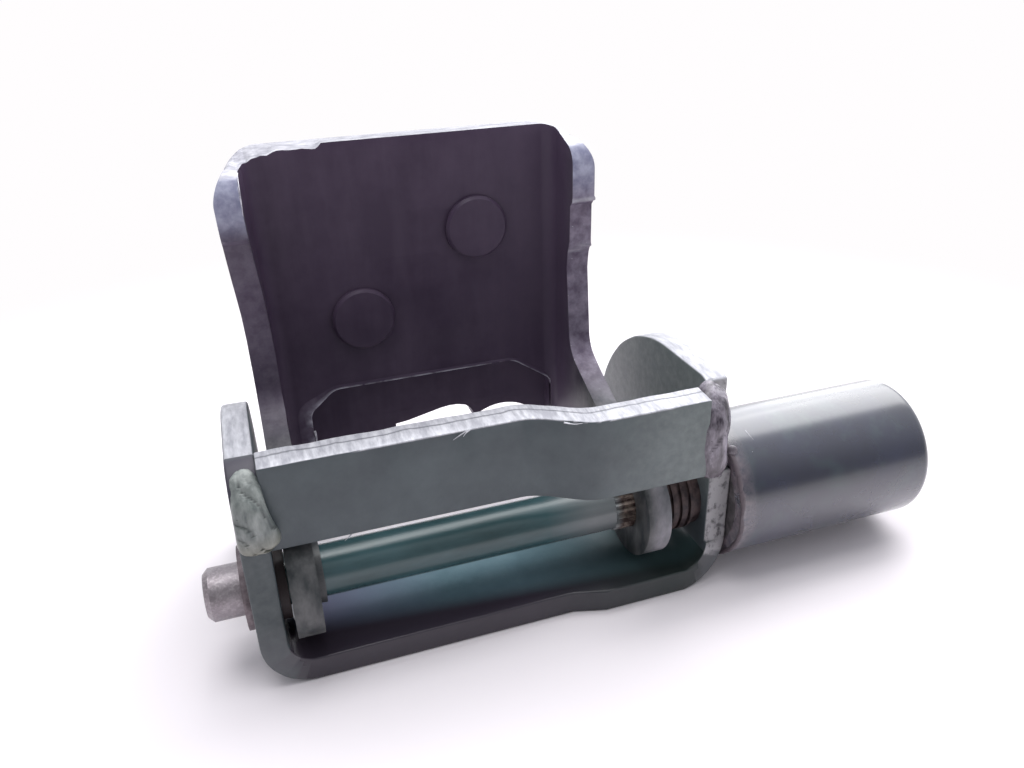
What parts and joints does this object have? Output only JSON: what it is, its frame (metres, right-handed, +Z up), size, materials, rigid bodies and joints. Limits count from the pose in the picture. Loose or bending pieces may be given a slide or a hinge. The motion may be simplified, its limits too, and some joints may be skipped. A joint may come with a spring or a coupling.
{
  "type": "tailgate hinge",
  "caption": "Heavy tailgate hinge: a folded bracket with a welded cross plate, a gooseneck leaf on a through rod, and a cylindrical spring housing.",
  "frame": {"origin": "on the bracket's underside, below the rod's axis and midway between the cheeks", "axes": "+X along the rod towards the spring housing, +Y from the open front to the leaf, +Z up from the mounting face"},
  "size_m": [0.181, 0.0979, 0.107],
  "materials": {
    "bracket_paint": "thick grey-green paint over hot-rolled sheet, bare at the sheared edges",
    "leaf_ecoat": "purple-black dip coat on pressed sheet, satin",
    "rod_paint": "teal gloss paint on a drawn bar, bare at the stub and the serrations",
    "bare_steel": "bare machined steel, lightly oiled",
    "bush_bronze": "sintered bronze, dull brown",
    "housing_paint": "glossy blue-black paint on tube",
    "weld_paint": "weld metal with thin grey-green paint",
    "washer_nylon": "black moulded nylon"
  },
  "bodies": {
    "bracket": {"body_bracket": "bracket_paint", "cross_plate": "bracket_paint", "left_plate_weld": "weld_paint", "right_plate_weld": "weld_paint", "left_pivot_bush": "bush_bronze", "left_thrust_washer": "washer_nylon", "right_pivot_bush": "bush_bronze", "housing_tube": "housing_paint", "housing_weld_ring": "weld_paint", "housing_end_plug": "housing_paint", "spring_anchor": "bare_steel", "torsion_spring": "bare_steel"},
    "leaf": {"gate_leaf": "leaf_ecoat", "leaf_studs": "leaf_ecoat", "torsion_rod": "rod_paint", "left_collar": "bare_steel", "right_spacer": "bush_bronze", "spring_hub": "bare_steel", "hub_circlip": "bare_steel"}
  },
  "joints": [
    {"name": "leaf_swing", "type": "hinge", "parent": "bracket", "child": "leaf", "pos_m": [0, 0, 0.021], "axis": [-1, 0, 0], "range_deg": [-38, 52]}
  ]
}
